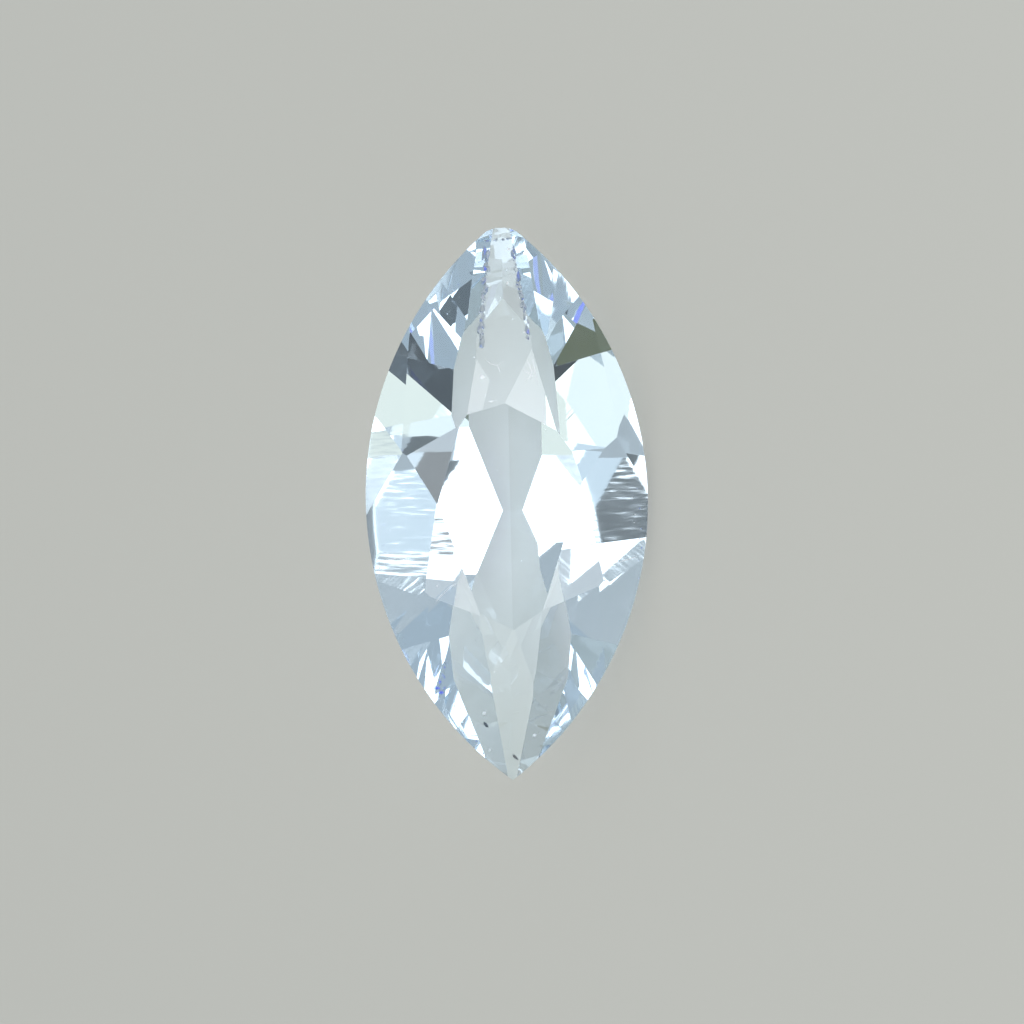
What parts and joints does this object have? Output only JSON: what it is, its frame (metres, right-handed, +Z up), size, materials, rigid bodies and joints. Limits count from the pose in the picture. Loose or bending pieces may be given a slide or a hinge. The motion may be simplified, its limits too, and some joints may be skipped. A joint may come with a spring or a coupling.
{
  "type": "cut topaz gemstone",
  "caption": "Pale blue transparent topaz cut as a pointed marquise, with a flat table, stepped-down side facets, a thin girdle and a keel along its back.",
  "frame": {"origin": "centre of the bounding box in plan, on the plane that the stone lies on", "axes": "+X along the stone from tip to tip, towards its slightly blunted tip; +Z up, square to the side facet it lies on; the table facet faces up and towards -Y"},
  "size_m": [0.01, 0.004, 0.0034],
  "materials": {
    "topaz": "polished"
  },
  "bodies": {
    "root": {"topaz": "topaz"}
  },
  "joints": []
}
